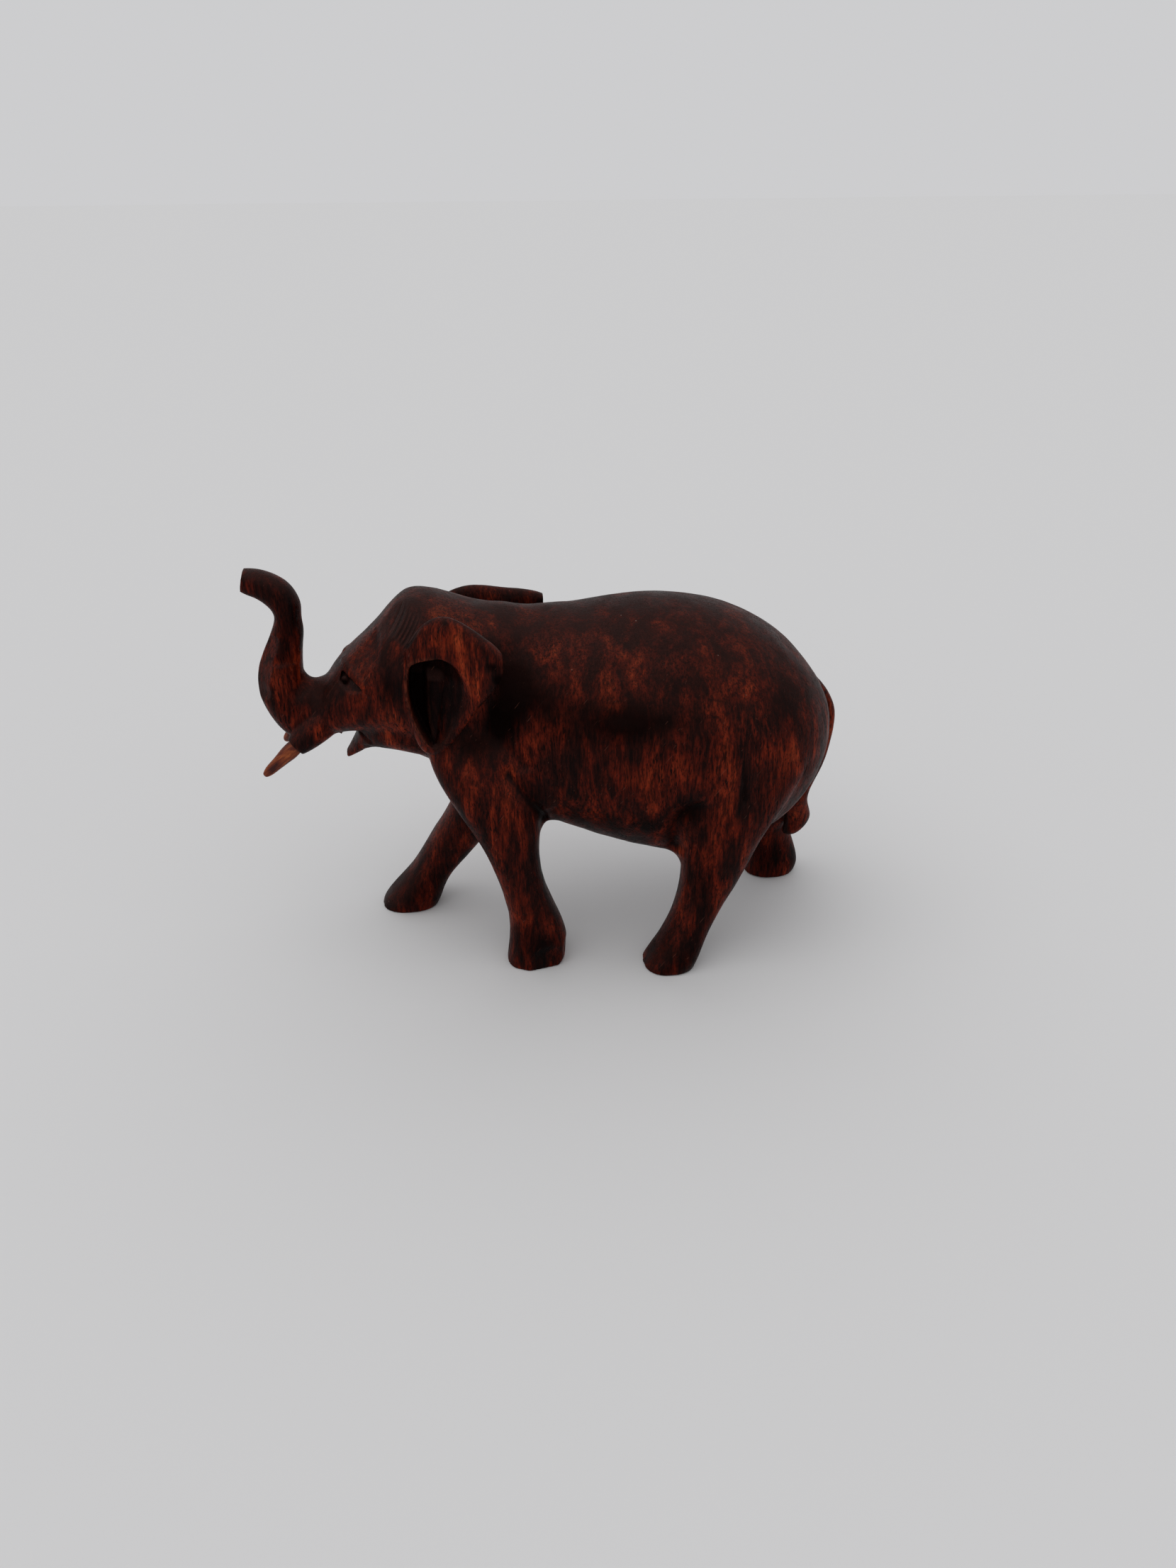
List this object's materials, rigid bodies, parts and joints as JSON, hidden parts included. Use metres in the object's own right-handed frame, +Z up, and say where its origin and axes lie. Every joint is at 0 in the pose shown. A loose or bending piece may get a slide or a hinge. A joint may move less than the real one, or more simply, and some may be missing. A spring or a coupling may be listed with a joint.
{
  "type": "carved wooden elephant",
  "caption": "Hand-carved dark hardwood elephant, walking with its trunk raised, with two small pegged tusks of paler wood.",
  "frame": {"origin": "on the ground, below the middle of the body", "axes": "+Z up, the head towards -X, the elephant's left side towards -Y"},
  "size_m": [0.1101, 0.0423, 0.0796],
  "materials": {
    "stained_hardwood": "hand-carved, dark red-brown stain, satin wax",
    "pale_wood": "whittled, unstained, satin"
  },
  "bodies": {
    "root": {"carved_body": "stained_hardwood", "left_tusk": "pale_wood", "right_tusk": "pale_wood"}
  },
  "joints": []
}
